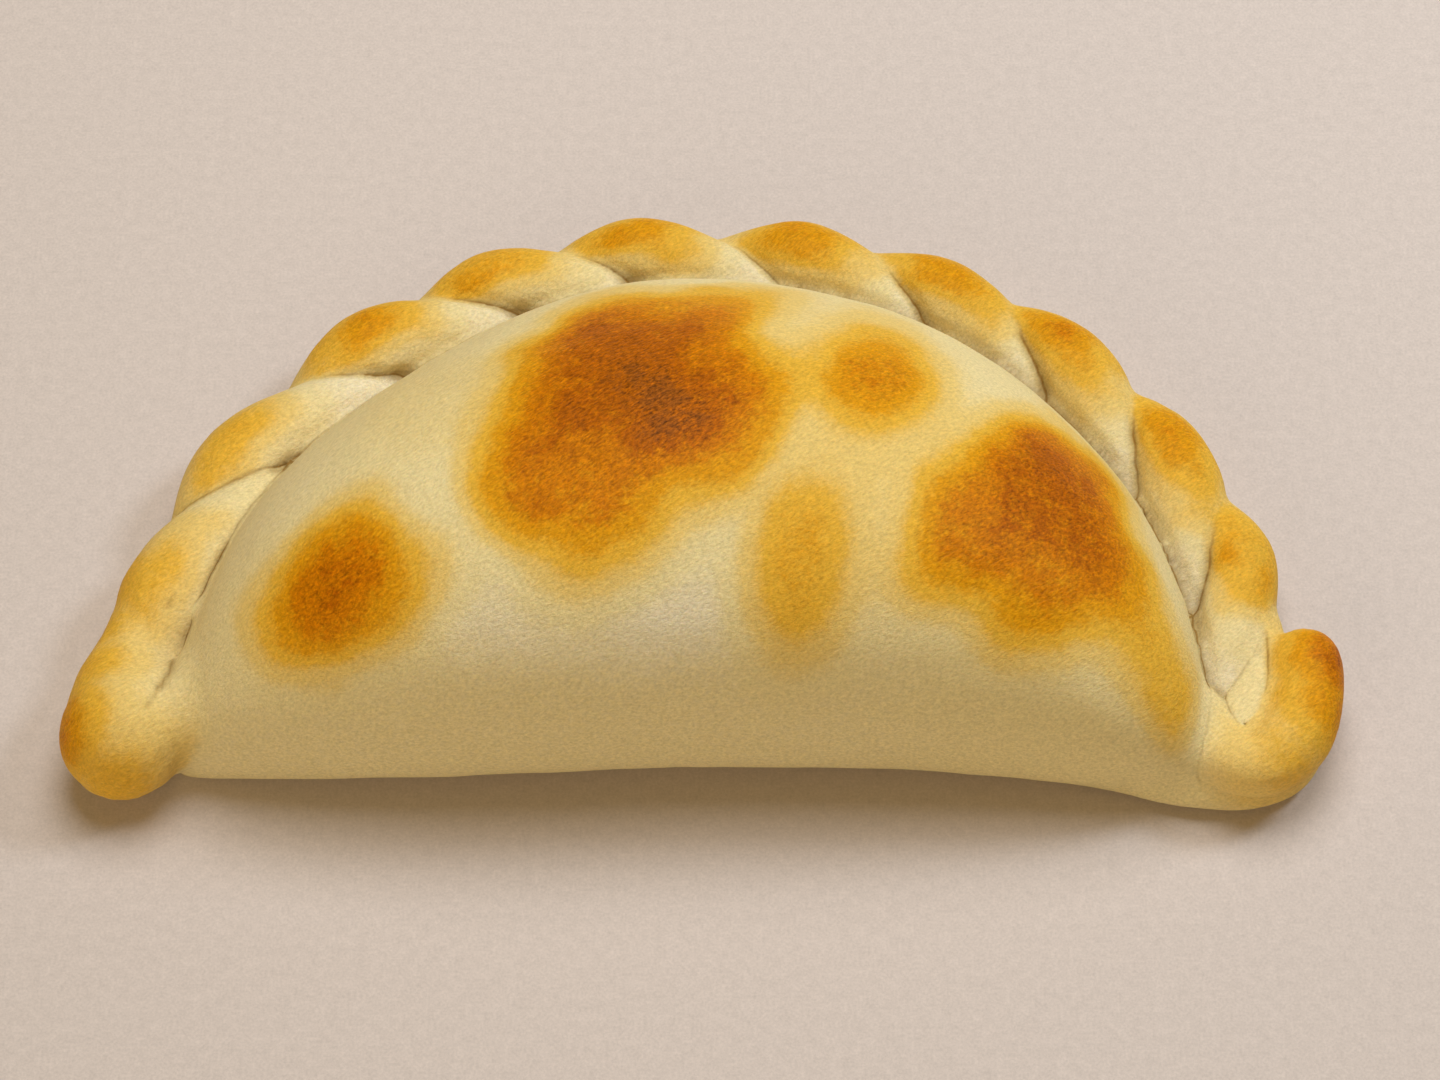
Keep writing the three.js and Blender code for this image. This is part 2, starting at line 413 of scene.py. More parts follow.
# %% [markdown]
# ## One skin of dough
#
# The parts are one piece of dough. Boolean unions would make them one, but with sharp joints and
# uneven faces, so they are joined and a voxel remesh wraps them in a single even skin. A few
# rounds of smoothing soften the joints as baking does. Then the skin is cut level with the tray,
# which leaves the flat base that it stands on.

# %% Join and remesh
VOXEL = 0.44

straight_mesh = straight_roll.data
bpy.data.objects.remove(straight_roll)
bpy.data.meshes.remove(straight_mesh)
pouch_tree = BVHTree.FromPolygons(
    [tuple(p) for p in points_of(pouch)], [tuple(f.vertices) for f in pouch.data.polygons]
)
choose(pouch, knob, *(roll["piece"] for roll in rolls))
bpy.ops.object.join()
crust = bpy.context.object
crust.name = crust.data.name = "empanada_crust"

bpy.ops.object.modifier_add(type="REMESH")
remesh = crust.modifiers[-1]
remesh.mode = "VOXEL"
remesh.voxel_size = VOXEL * MM
bpy.ops.object.modifier_apply(modifier=remesh.name)
print("one skin:", len(crust.data.vertices), "points")

# %% Smooth and cut level
bpy.ops.object.modifier_add(type="SMOOTH")
soften = crust.modifiers[-1]
soften.factor = 0.5
soften.iterations = 8
bpy.ops.object.modifier_apply(modifier=soften.name)
bpy.ops.object.mode_set(mode="EDIT")
bpy.ops.mesh.select_all(action="SELECT")
bpy.ops.mesh.bisect(plane_co=(0, 0, 0), plane_no=(0, 0, 1), clear_inner=True, threshold=1e-6)
bpy.ops.object.mode_set(mode="OBJECT")
bpy.ops.object.shade_smooth()
print("crust:", len(crust.data.vertices), "points,", len(crust.data.polygons), "faces")

# %% [markdown]
# ## Relief
#
# A remesh leaves every joint the same. In real dough some parts melt into each other and others
# stay apart with a dark groove between them. That could be sculpted by hand, but the rolls' own
# curves already say where the joints run. So the distances from each point to all the parts are
# worked out, and from them how far the skin has melted together there and how deep a groove it
# has. A few slits and pinholes, where steam came out, are placed one by one.

# %% Noise and soft steps


def bumps(places, size, seed):
    """Smooth noise from -1 to 1, with hills about this far apart."""
    lattice = np.random.RandomState(seed).uniform(-1, 1, (32, 32, 32))
    cell = np.floor(places / size).astype(int)
    part = places / size - cell
    part = part * part * (3 - 2 * part)
    total = np.zeros(len(places))
    for corner in np.ndindex(2, 2, 2):
        weight = np.prod(np.where(corner, part, 1 - part), axis=1)
        total += weight * lattice[tuple(((cell + corner) % 32).T)]
    return total


def smooth_step(low, high, value):
    """From 0 at the first value to 1 at the second, which may be the lower one."""
    part = np.clip((value - low) / (high - low), 0, 1)
    return part * part * (3 - 2 * part)


points = points_of(crust)
print("lowest noise on the crust:", bumps(points, 3, 1).min().round(2))

# %% Neighbours and normals
edges = np.empty(2 * len(crust.data.edges), dtype=np.int32)
crust.data.edges.foreach_get("vertices", edges)
edges = edges.reshape(-1, 2)
valence = np.bincount(edges.ravel(), minlength=len(crust.data.vertices))


def relaxed(values, rounds):
    """Each value averaged with its neighbours', a number of times."""
    columns = values.reshape(len(values), -1).copy()
    for _ in range(rounds):
        for i in range(columns.shape[1]):
            near = columns[:, i][edges[:, ::-1]].ravel()
            total = np.bincount(edges.ravel(), weights=near, minlength=len(columns))
            columns[:, i] = 0.5 * columns[:, i] + 0.5 * total / valence
    return columns.reshape(values.shape)


def normals_of(piece):
    flat = np.empty(3 * len(piece.data.vertices))
    piece.data.vertices.foreach_get("normal", flat)
    return flat.reshape(-1, 3)


print("neighbours of a point:", valence.min(), "to", valence.max())

# %% How far each point is from each part
FAR = 50.0
NEARBY = 8.0
PATH_STEPS = 90
BATCHES = 12  # the points are taken in batches, to spare memory


def measure_rolls(points):
    """Distances from each roll, and each point's place on the roll nearest to it."""
    gaps = np.full((len(points), len(rolls)), FAR)
    place = np.zeros((len(points), 4))  # share along, mm along, mm round and degrees round
    nearest = np.full(len(points), FAR)
    shares = np.linspace(0, 1, PATH_STEPS)
    for number, roll in enumerate(rolls):
        path, length = smooth_path(roll["rows"], shares)
        side, top = frame_along(path)
        reach = path[:, 3].max() + NEARBY
        inside = (points > path[:, :3].min(0) - reach) & (points < path[:, :3].max(0) + reach)
        for part in np.array_split(np.flatnonzero(inside.all(1)), BATCHES):
            step = points[part, None, :] - path[None, :, :3]
            distance = np.linalg.norm(step, axis=2) - path[None, :, 3]
            spot = distance.argmin(1)
            row = np.arange(len(part))
            gaps[part, number] = distance[row, spot]
            better = gaps[part, number] < nearest[part]
            take, spot, step = part[better], spot[better], step[row, spot][better]
            nearest[take] = gaps[take, number]
            turn = np.arctan2((step * side[spot]).sum(1), (step * top[spot]).sum(1))
            place[take] = np.column_stack(
                [shares[spot], shares[spot] * length, turn * path[spot, 3], np.degrees(turn)]
            )
    return gaps, place


roll_gaps, roll_place = measure_rolls(points)
knob_gap = np.linalg.norm(points - KNOB[:3], axis=1) - KNOB[3]
pouch_gap = np.array([pouch_tree.find_nearest(Vector(point))[3] for point in points])
part_names = [roll["name"] for roll in rolls] + ["knob", "pouch"]
part_gaps = np.column_stack([roll_gaps, knob_gap, pouch_gap])
own_part = part_gaps.argmin(1)
print("points on each part:", dict(zip(part_names, np.bincount(own_part).tolist())))

# %% How each two kinds of part are joined
# How far the softening between them reaches, the depth of the groove and its half width.
JOINTS = {
    ("knob", "pouch"): (12, 0, 1),
    ("knob", "knob"): (7, 0, 1),
    ("knob", "strand"): (8, 0, 1),
    ("strand", "strand"): (7, 0, 1),
    ("pouch", "strand"): (0, 1.0, 0.55),
    ("fold", "strand"): (2, 0.6, 0.45),
    ("fold", "pouch"): (0, 1.2, 0.8),
    ("fold", "fold"): (0, 0.9, 0.5),
    ("curl", "fold"): (0, 0.9, 0.5),
    ("fold", "last"): (3, 0.3, 0.35),
    ("curl", "last"): (1.5, 0.6, 0.4),
    ("last", "pouch"): (0, 0.8, 0.5),
    ("last", "rim"): (3, 0, 1),
    ("curl", "pouch"): (2, 0.3, 0.3),
    ("curl", "lip"): (1.5, 0.3, 0.3),
    ("lip", "pouch"): (5, 0, 1),
    ("fold", "rim"): (2, 0, 1),
    ("pouch", "rim"): (2, 0, 1),
    ("rim", "strand"): (4, 0, 1),
    ("curl", "rim"): (2, 0, 1),
    ("knob", "rim"): (7, 0, 1),
    ("lip", "rim"): (3, 0, 1),
}
# The parts whose kind isn't the first word of their name.
KINDS = {"knob_root": "knob", "knob_strand": "strand", "fold_0": "strand", "curled_end": "curl"}
kinds = np.array([KINDS.get(name, name.split("_")[0]) for name in part_names])
own_kinds = kinds[own_part]
print("kinds of part:", sorted(set(kinds)), "| kinds of joint:", len(JOINTS))

# %% Where along a joint its groove is open
from_centre = points[:, :2] - DISC_CENTRE
seam_distance = np.linalg.norm(from_centre, axis=1) - SEAM_RADIUS
seam_degrees = np.degrees(np.arctan2(from_centre[:, 1], from_centre[:, 0]))
on_the_right = smooth_step(95, 50, seam_degrees)


def openness(pair, here):
    """How open the groove between two kinds of part is at some of the points, from 0 to 1."""
    x, y = points[here, 0], points[here, 1]
    if pair == ("fold", "fold"):
        return smooth_step(0.0, -4.0, seam_distance[here])
    if pair == ("fold", "pouch"):
        return 0.35 + 0.65 * on_the_right[here]
    if pair == ("pouch", "strand"):
        beside_knob = smooth_step(-24, -21, y) * (1 - 0.5 * smooth_step(-9.5, -7.5, y))
        return beside_knob * smooth_step(0.8, 2.0, np.abs(y + 16.2))
    if pair == ("fold", "last"):
        return smooth_step(55.0, 53.8, x)
    if pair == ("curl", "pouch"):
        return smooth_step(-26, -29, y)
    if pair in (("curl", "fold"), ("curl", "last")):
        beside_curl = smooth_step(-29.5, -27.5, y) * smooth_step(-17.5, -19.5, y)
        return beside_curl * (1 - smooth_step(52, 54, x) * smooth_step(-22, -27, y))
    return np.ones(here.sum())


print("points beside the right half of the rope:", int((on_the_right > 0.5).sum()))

# %% Where parts melt together and where they stay apart
WIDEST_JOINT = 12
# Within this share of the reach, two parts have melted together fully.
FULLY_MELTED = 0.3

melting = np.zeros(len(points))
groove = np.zeros(len(points))
own_gap = part_gaps[np.arange(len(points)), own_part]
ragged = 0.15 * bumps(points, 1.1, 3) + 0.35 * bumps(points, 2.6, 4)
for other, other_kind in enumerate(kinds):
    apart = np.maximum(part_gaps[:, other] - own_gap, 0)
    for own_kind in sorted(set(kinds)):
        pair = tuple(sorted((own_kind, other_kind)))
        here = (own_kinds == own_kind) & (own_part != other) & (apart < WIDEST_JOINT)
        if pair not in JOINTS or not here.any():
            continue
        reach, depth, width = JOINTS[pair]
        if reach:
            near = smooth_step(reach, FULLY_MELTED * reach, apart[here])
            melting[here] = np.maximum(melting[here], near)
        if depth:
            near = np.exp(-((apart[here] / width) ** 2))
            strength = openness(pair, here) * (1 + ragged[here])
            groove[here] = np.maximum(groove[here], depth * near * strength)
print("melting:", melting.mean().round(2), "| groove up to, mm:", groove.max().round(2))

# %% Slits and pinholes
# Each slit: its depth, its half width and the points that it runs through.
SLITS = [
    (1.3, 0.5, [(-51.1, -17.1, 8.2), (-51.9, -19.3, 7.5), (-52.4, -21.0, 7.7)]),
    (1.0, 0.45, [(-52.4, -21.0, 7.7), (-52.6, -23.9, 9.5), (-53.3, -26.2, 10.2)]),
    (0.45, 0.3, [(-53.3, -26.2, 10.2), (-54.1, -29.0, 11.1)]),
    (0.5, 0.3, [(-53.0, -15.2, 9.0), (-53.4, -16.2, 9.2)]),
    (0.4, 0.3, [(54.9, -20.0, 7.6), (55.1, -20.8, 7.2)]),
    (0.5, 0.3, [(-58.9, -28.5, 11.7), (-58.8, -28.5, 11.7)]),
    (0.4, 0.25, [(-58.3, -23.4, 10.3), (-58.2, -23.5, 10.3)]),
    (0.5, 0.3, [(58.8, -20.8, 10.0), (58.7, -20.8, 10.0)]),
]


def distance_to_line(points, line):
    """How far each point is from a line through a few points; height counts for less."""
    flat = np.array((1, 1, 0.5))
    best = np.full(len(points), FAR)
    for start, end in zip(np.array(line) * flat, np.array(line)[1:] * flat):
        step = end - start
        away = points * flat - start
        share = np.clip(away @ step / (step @ step), 0, 1)
        best = np.minimum(best, np.linalg.norm(away - share[:, None] * step, axis=1))
    return best


for depth, width, line in SLITS:
    near = np.exp(-((distance_to_line(points, line) / width) ** 2))
    groove = np.maximum(groove, depth * near * (1 + ragged))
off_slit = np.min([distance_to_line(points, line) for _, _, line in SLITS], axis=0)
print("slits:", len(SLITS), "| groove up to, mm:", groove.max().round(2))

# %% Where the bottoms of the grooves run
# The distance to one part less the distance to the other is nought along the joint between them.
# Neighbours in the rope go into different lists, and a little noise lets the line wander.
WANDER = 0.12

first_folds = [i for i, kind in enumerate(kinds) if kind in ("fold", "last", "strand") and i % 2]
other_folds = [i for i, kind in enumerate(kinds) if kind in ("fold", "last", "curl") and not i % 2]
past_first = part_gaps[:, first_folds].min(1)
past_others = part_gaps[:, other_folds].min(1)
off_fold_edge = past_first - past_others + WANDER * bumps(points, 1.0, 19)
off_pouch_edge = pouch_gap - np.minimum(past_first, past_others) + WANDER * bumps(points, 1.0, 20)
in_thread = (np.abs(off_fold_edge) < 0.3) & (groove > 0.1)
print("points along the joints between folds:", int(in_thread.sum()))

# %% Pockets where two folds and the pouch meet
# They are deep at the left and fade out past the middle.
POCKET_DEPTH = 2.0

pocket = np.exp(-((off_fold_edge / 0.8) ** 2) - (off_pouch_edge / 1.3) ** 2)
pocket = pocket * smooth_step(15, -15, points[:, 0])
groove = np.maximum(groove, POCKET_DEPTH * pocket)
print("points in the pockets:", int((pocket > 0.3).sum()))

# %% [markdown]
# ## Filling and pressing
#
# Dough that melts together leaves a soft fillet in the joint. A smoothed copy of the skin lies
# outside it in every hollow, so near such a joint the skin is moved out towards the copy. Then
# the grooves are pressed in, with fine wrinkles along the rolls and a slight unevenness all over.
# A displace modifier would do that with a texture, but here each point has a depth of its own,
# so the points are moved along their normals.

# %% Filling the hollows where parts melt together
MELTING_ROUNDS = 3

on_base = points[:, 2] < 0.01
melting = relaxed(melting, 8)
for _ in range(MELTING_ROUNDS):
    normals = normals_of(crust)
    fill = ((relaxed(points, 40) - points) * normals).sum(1)
    fill = relaxed(np.maximum(fill, 0), 4) * melting
    points = points + normals * fill[:, None]
    points[:, 2] = np.where(on_base, 0, np.maximum(points[:, 2], 0))
    move_points(crust, points)
print("filled by, mm:", fill.max().round(2))

# %% Wrinkles and unevenness
# Noise that is stretched along a roll makes wrinkles that run along it.
WRINKLE = 0.07

on_roll = own_part < len(rolls)
wrinkle_place = np.column_stack(
    [roll_place[:, 1] / 3.2, roll_place[:, 2] / 0.8, own_part * 5.3 + points[:, 2] / 6]
)
wrinkles = np.where(on_roll, WRINKLE * bumps(wrinkle_place, 1, 5), 0)
unevenness = 0.12 * bumps(points, 6.5, 6) + 0.04 * bumps(points, 2.2, 7)
off_floor = smooth_step(0.2, 2.5, points[:, 2])
print("wrinkles up to, mm:", wrinkles.max().round(2), "| unevenness:", unevenness.max().round(2))

# %% Pressing the relief into the skin
FULL_CREASE = 0.8

rise = off_floor * (wrinkles + unevenness) - relaxed(groove, 3)
normals = relaxed(normals_of(crust), 3)
points = points + normals * rise[:, None]
# Where something was pressed in, the points are evened out again.
pressed = np.clip(relaxed(groove, 2) / 0.3, 0, 1)[:, None]
points = points + pressed * (relaxed(points, 6) - points)
points[:, 2] = np.where(on_base, 0, np.maximum(points[:, 2], 0))
move_points(crust, points)
# How deep the crease is, from 0 to 1, kept for the shade painted into the joints.
crease = np.clip(relaxed(groove, 1) / FULL_CREASE, 0, 1)
print("relief, mm:", rise.min().round(2), "to", rise.max().round(2))

# %% [markdown]
# ## Browning
#
# How far the crust has browned is worked out once for each point, as one number from 0 for cream
# to 1 for the darkest brown, and kept on the mesh as an attribute. It could be painted by hand as
# weights, but numbers are easier to correct. On the pouch it is dabbed on in soft ovals, as a
# brush would. On the folds it follows the roll: strong on the back that faces up and outward, gone
# on the tails.

# %% Dabs of brown on the pouch
# Each dab: mm across, mm up the slope as seen from in front, the oval's two half sizes, its turn
# in degrees and its strength.
DABS = [
    # the large blister, left of the middle
    (-13.3, 14.4, 10.1, 5.7, 48, 0.57),
    (-1.5, 14.0, 9.0, 6.2, 56, 0.73),
    (-9.4, 7.8, 13.8, 8.2, 80, 0.70),
    (3.4, 9.3, 8.9, 4.5, 60, 0.58),
    (-3.8, 12.0, 3.5, 4.9, 32, 0.79),
    (-18.3, 3.6, 4.4, 6.1, 21, 0.52),
    (-4.0, 20.2, 14.0, 3.3, 14, 0.45),
    # the one at the left
    (-34.6, -7.3, 10.3, 6.6, 25, 0.58),
    (-35.1, -4.1, 4.8, 7.9, -31, 0.46),
    # two pale ones, right of the middle
    (16.2, 15.1, 8.0, 6.6, -10, 0.34),
    (16.8, 14.7, 5.0, 4.2, -10, 0.38),
    (9.4, -4.0, 6.3, 10.0, -6, 0.30),
    (9.2, -3.2, 4.2, 8.0, -6, 0.22),
    # the one at the right, with its tail
    (36.0, 5.5, 3.3, 6.7, 50, 0.71),
    (33.9, -4.6, 9.1, 7.2, 47, 0.64),
    (26.1, 1.0, 10.4, 5.8, 49, 0.67),
    (32.0, 3.2, 7.5, 3.7, -62, 0.46),
    (40.2, -4.3, 3.2, 10.0, 32, 0.43),
    (47.9, -19.4, 3.7, 14.0, 42, 0.33),
    # faint warmth between them
    (17.5, 8.5, 9.0, 8.0, 0, 0.15),
    (-27.0, 12.0, 10.0, 6.0, 20, 0.08),
]
SLOPE = CAMERA_ELEVATION
# Above 1, a dab is more even inside and ends more sharply.
DAB_EDGE = 1.88

across = points[:, 0] + 0.6 * bumps(points, 4.0, 11) + 0.25 * bumps(points, 1.3, 12)
upward = points[:, 1] * math.sin(SLOPE) + points[:, 2] * math.cos(SLOPE)
upward = upward + 0.6 * bumps(points, 4.0, 13) + 0.25 * bumps(points, 1.3, 14)
uncoloured = np.ones(len(points))
for x, y, half_width, half_height, turn, strength in DABS:
    c, s = math.cos(math.radians(turn)), math.sin(math.radians(turn))
    u = ((across - x) * c + (upward - y) * s) / half_width
    v = ((upward - y) * c - (across - x) * s) / half_height
    uncoloured *= 1 - strength * np.exp(-((u * u + v * v) ** DAB_EDGE))
back_fade = smooth_step(24, 15, points[:, 1])
edge_fade = smooth_step(0.8, 5.0, part_gaps[:, :-1].min(1))
# The middle of the front is made paler: partly paler dough, partly painted light brightening the
# belly's middle.
lit_paler_middle = np.exp(-(((across + 8) / 18) ** 2) - ((upward + 8.8) / 5) ** 2)
haze = 0.08 - 0.06 * lit_paler_middle + 0.03 * smooth_step(12, 40, across)
pouch_browning = haze + (1 - haze) * (1 - uncoloured) * back_fade * edge_fade
print("browning of the pouch:", np.percentile(pouch_browning, [5, 50, 95]).round(2))

# %% Gold along the folds
# It is strongest a little before the middle of each fold. The inner side and the tail stay raw.
PLAIN_DOUGH = 0.11
# How strongly each fold has coloured, from the left to the right.
FOLD_GOLD = [0.27, 0.31, 0.48, 0.43, 0.47, 0.50, 0.49, 0.53, 0.50, 0.50]

fold_names = {f"fold_{number}": gold for number, gold in enumerate(FOLD_GOLD)}
gold_of = np.array([fold_names.get(name, 0.0) for name in part_names])

share = roll_place[:, 0] + 0.05 * bumps(points, 3.0, 17)
degrees = roll_place[:, 3] + 12 * bumps(points, 3.5, 18)
along_gold = np.exp(-(((share - 0.45) / 0.24) ** 2))
inner_side = 0.12 + 0.88 * np.exp(-((degrees / 33) ** 2))
outer_side = 0.35 + 0.65 * np.exp(-((degrees / 75) ** 2))
round_gold = np.where(degrees > 0, inner_side, outer_side)
patchy = 1 + 0.2 * bumps(points, 3.0, 15) + 0.12 * bumps(wrinkle_place, 1.4, 16)
paler_side = np.maximum(smooth_step(0.6, 0.85, share), 0.6 * smooth_step(15, 60, degrees))
raw = PLAIN_DOUGH - 0.075 * paler_side * (own_kinds != "last")
fold_browning = raw + gold_of[own_part] * along_gold * round_gold * patchy
on_folds = fold_browning[gold_of[own_part] > 0]
print("browning of the folds:", np.percentile(on_folds, [5, 50, 95]).round(2))

# %% Gold on the two ends
# Each dab: x, y, z, radius and strength.
END_DABS = [
    (-62.0, -30.0, 8.5, 5.8, 0.54),
    (-60.4, -29.5, 10.6, 4.2, 0.40),
    (-57.5, -34.5, 6.5, 7.0, 0.32),
    (-60.2, -23.0, 9.6, 4.8, 0.36),
    (-60.0, -17.5, 8.0, 5.0, 0.32),
    (-58.5, -12.0, 8.0, 5.5, 0.34),
    (62.3, -22.0, 8.5, 5.8, 0.72),
    (61.5, -27.0, 8.0, 6.0, 0.56),
    (57.0, -32.0, 7.0, 6.0, 0.30),
]

end_browning = np.full(len(points), PLAIN_DOUGH)
for x, y, z, radius, strength in END_DABS:
    distance = np.linalg.norm(points - (x, y, z), axis=1)
    dab = PLAIN_DOUGH + strength * np.exp(-((distance / radius) ** 2))
    end_browning = np.maximum(end_browning, dab)
print("browning of the ends up to:", end_browning.max().round(2))

# %% Keeping the numbers on the mesh
in_rope = np.isin(own_kinds, ("fold", "last"))
browning = np.where(in_rope, fold_browning, np.maximum(fold_browning, end_browning))
browning = np.where(own_kinds == "rim", PLAIN_DOUGH, browning)
browning = np.where(own_kinds == "pouch", pouch_browning, browning)
browning = relaxed(np.clip(browning, 0, 1), 6)
# Beyond 3 mm from a slit nothing of it shows, so larger distances aren't kept.
KEPT = {
    "browning": browning,
    "crease": crease,
    "off_fold_edge": off_fold_edge,
    "off_pouch_edge": off_pouch_edge,
    "off_slit": np.minimum(off_slit, 3),
}
for name, values in KEPT.items():
    attribute = crust.data.attributes.new(name, "FLOAT", "POINT")
    attribute.data.foreach_set("value", np.ascontiguousarray(values, dtype=np.float32))
print("browning on the mesh:", np.percentile(browning, [5, 50, 95]).round(2))

# %% [markdown]
# ## The base
#
# A baked empanada has a flat underside. The cut left the skin open there, and a fill could close
# it with one large face, but a fan of small triangles is surer to stay flat. So the cut edge is
# extruded in place and merged at its centre.

# %% Closing the base
choose(crust)
bpy.ops.object.mode_set(mode="EDIT")
bpy.ops.mesh.select_all(action="DESELECT")
bpy.ops.mesh.select_non_manifold()
bpy.ops.mesh.extrude_edges_move()
bpy.ops.mesh.merge(type="CENTER")
bpy.ops.mesh.select_all(action="SELECT")
bpy.ops.mesh.normals_make_consistent(inside=False)
# The new faces come in another order each time, so all the faces are sorted.
bpy.ops.mesh.sort_elements(type="CURSOR_DISTANCE", elements={"FACE"})
bpy.ops.object.mode_set(mode="OBJECT")
triangles = sum(len(face.vertices) - 2 for face in crust.data.polygons)
print("triangles:", triangles)

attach(crust, "root")
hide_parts("empanada")

# %% [markdown]
# ## The baked crust
#
# Baked dough has one range of colour, from cream and straw over gold to deep brown. It could be
# painted on as an image, but the browning is already a number on the mesh, so a ramp turns it
# into colour. Flour leaves fine freckles in it, and a dark blister is more coarsely speckled than
# pale dough; these flecks are partly the crust's own grain and partly painted glints. Shade is
# painted into the joints: darkest in a thread along their bottoms, thinner than the faces of the
# mesh, so the thread is drawn from the distances kept on the mesh, and softer over the whole
# crease.

# %% Helpers for nodes


def add_node(tree, kind, **settings):
    node = tree.nodes.new(kind)
    for key, value in settings.items():
        setattr(node, key, value)
    return node


def link(tree, source, target):
    """An output is linked to a socket, and a plain number is written into it."""
    if isinstance(source, (int, float)):
        target.default_value = source
    else:
        tree.links.new(source, target)


def calculate(tree, operation, *values):
    node = add_node(tree, "ShaderNodeMath", operation=operation)
    for socket, value in zip(node.inputs, values):
        link(tree, value, socket)
    return node.outputs[0]


def noise_in_mm(tree, place, size, detail, roughness):
    """Noise around 0, with spots of about this size."""
    node = add_node(tree, "ShaderNodeTexNoise")
    link(tree, place, node.inputs["Vector"])
    node.inputs["Scale"].default_value = 1 / (size * MM)
    node.inputs["Detail"].default_value = detail
    node.inputs["Roughness"].default_value = roughness
    return calculate(tree, "SUBTRACT", node.outputs["Fac"], 0.5)


def from_mesh(tree, name):
    """A number kept on the mesh."""
    return add_node(tree, "ShaderNodeAttribute", attribute_name=name).outputs["Fac"]


print("numbers kept on the mesh:", list(KEPT))

# %% A speckle and a thread as node groups


def new_group(name, inputs, output):
    """An empty group with named sockets for values, and its two end nodes."""
    group = bpy.data.node_groups.new(name, "ShaderNodeTree")
    for socket, kind in inputs.items():
        group.interface.new_socket(socket, in_out="INPUT", socket_type=kind)
    group.interface.new_socket(output, in_out="OUTPUT", socket_type="NodeSocketFloat")
    return group, add_node(group, "NodeGroupInput"), add_node(group, "NodeGroupOutput")


speckle, given, made = new_group("speckle", {"Place": "NodeSocketVector"}, "Speckle")
fine = noise_in_mm(speckle, given.outputs["Place"], 0.3, 2.0, 0.75)
link(speckle, fine, made.inputs["Speckle"])

sockets = {"Off Edge": "NodeSocketFloat", "Width": "NodeSocketFloat", "Depth": "NodeSocketFloat"}
thread, given, made = new_group("thread", sockets, "Thread")
away = calculate(thread, "DIVIDE", given.outputs["Off Edge"], given.outputs["Width"])
fall = calculate(thread, "MULTIPLY", calculate(thread, "MULTIPLY", away, away), -1.0)
bell = calculate(thread, "EXPONENT", fall)
link(thread, calculate(thread, "MULTIPLY", bell, given.outputs["Depth"]), made.inputs["Thread"])


def use_group(tree, group, **values):
    """The only output of a group, with values or links for its inputs."""
    node = add_node(tree, "ShaderNodeGroup", node_tree=group)
    for name, value in values.items():
        link(tree, value, node.inputs[name.replace("_", " ")])
    return node.outputs[0]


print("node groups:", [group.name for group in bpy.data.node_groups])

# %% The crust's material: browning with its speckle
crust_finish = bpy.data.materials.new("baked_crust")
crust_finish.use_nodes = True
tree = crust_finish.node_tree
shader = tree.nodes["Principled BSDF"]
place = add_node(tree, "ShaderNodeTexCoord").outputs["Object"]
browned = from_mesh(tree, "browning")
creased = from_mesh(tree, "crease")

# The speckle is drawn out into short dashes, as brushed egg dries.
dashes = add_node(tree, "ShaderNodeMapping", vector_type="TEXTURE")
dashes.inputs["Rotation"].default_value = (0, 0, math.radians(35))
dashes.inputs["Scale"].default_value = (1.9, 0.9, 1.0)
link(tree, place, dashes.inputs["Vector"])
grain = use_group(tree, speckle, Place=dashes.outputs["Vector"])
# Freckles and larger blotches shift the browning, the more where it is dark.
freckles = noise_in_mm(tree, place, 0.7, 3.0, 0.7)
blotches = noise_in_mm(tree, place, 2.4, 2.0, 0.6)
squared = calculate(tree, "POWER", browned, 2.0)
amount = calculate(tree, "MULTIPLY_ADD", squared, 0.35, 0.06)
heat = calculate(tree, "MULTIPLY_ADD", freckles, amount, browned)
amount = calculate(tree, "MULTIPLY", squared, 0.45)
heat = calculate(tree, "MULTIPLY_ADD", blotches, amount, heat)
print("nodes for the browning:", len(tree.nodes))

# %% From cream to brown


def srgb(red, green, blue):
    """A colour as a screen shows it, in the shader's own linear numbers."""
    linear = [
        v / 12.92 if v <= 0.04045 else ((v + 0.055) / 1.055) ** 2.4
        for v in (red / 255, green / 255, blue / 255)
    ]
    return (*linear, 1)


COLOURS = [
    (0.00, (232, 219, 190)),
    (0.10, (229, 209, 153)),
    (0.24, (227, 194, 114)),
    (0.42, (224, 173, 57)),
    (0.58, (214, 147, 16)),
    (0.72, (197, 117, 2)),
    (0.86, (171, 90, 1)),
    (1.00, (146, 79, 15)),
]
ramp = add_node(tree, "ShaderNodeValToRGB")
link(tree, heat, ramp.inputs["Fac"])
ramp.color_ramp.interpolation = "EASE"
stops = ramp.color_ramp.elements
while len(stops) < len(COLOURS):
    stops.new(0.5)
for stop, (position, colour) in zip(stops, COLOURS):
    stop.position = position
for stop, (position, colour) in zip(stops, COLOURS):
    stop.color = srgb(*colour)

# Dark places take more of the speckle. Its light and dark flecks are partly the crust's own grain
# and partly painted glints.
lighter = calculate(tree, "MULTIPLY_ADD", calculate(tree, "POWER", browned, 3.0), 2.8, 0.75)
lightness = add_node(tree, "ShaderNodeHueSaturation")
link(tree, calculate(tree, "MULTIPLY_ADD", grain, lighter, 1.0), lightness.inputs["Value"])
link(tree, ramp.outputs["Color"], lightness.inputs["Color"])
print("colours in the ramp:", len(stops))

# %% Painted shade: dark threads in the joints
# The half width of each thread, in mm, and the colour of the shade painted into the joints.
THREADS = {"off_fold_edge": 0.22, "off_pouch_edge": 0.28, "off_slit": 0.4}
SHADED_DOUGH = (0.36, 0.25, 0.12, 1)

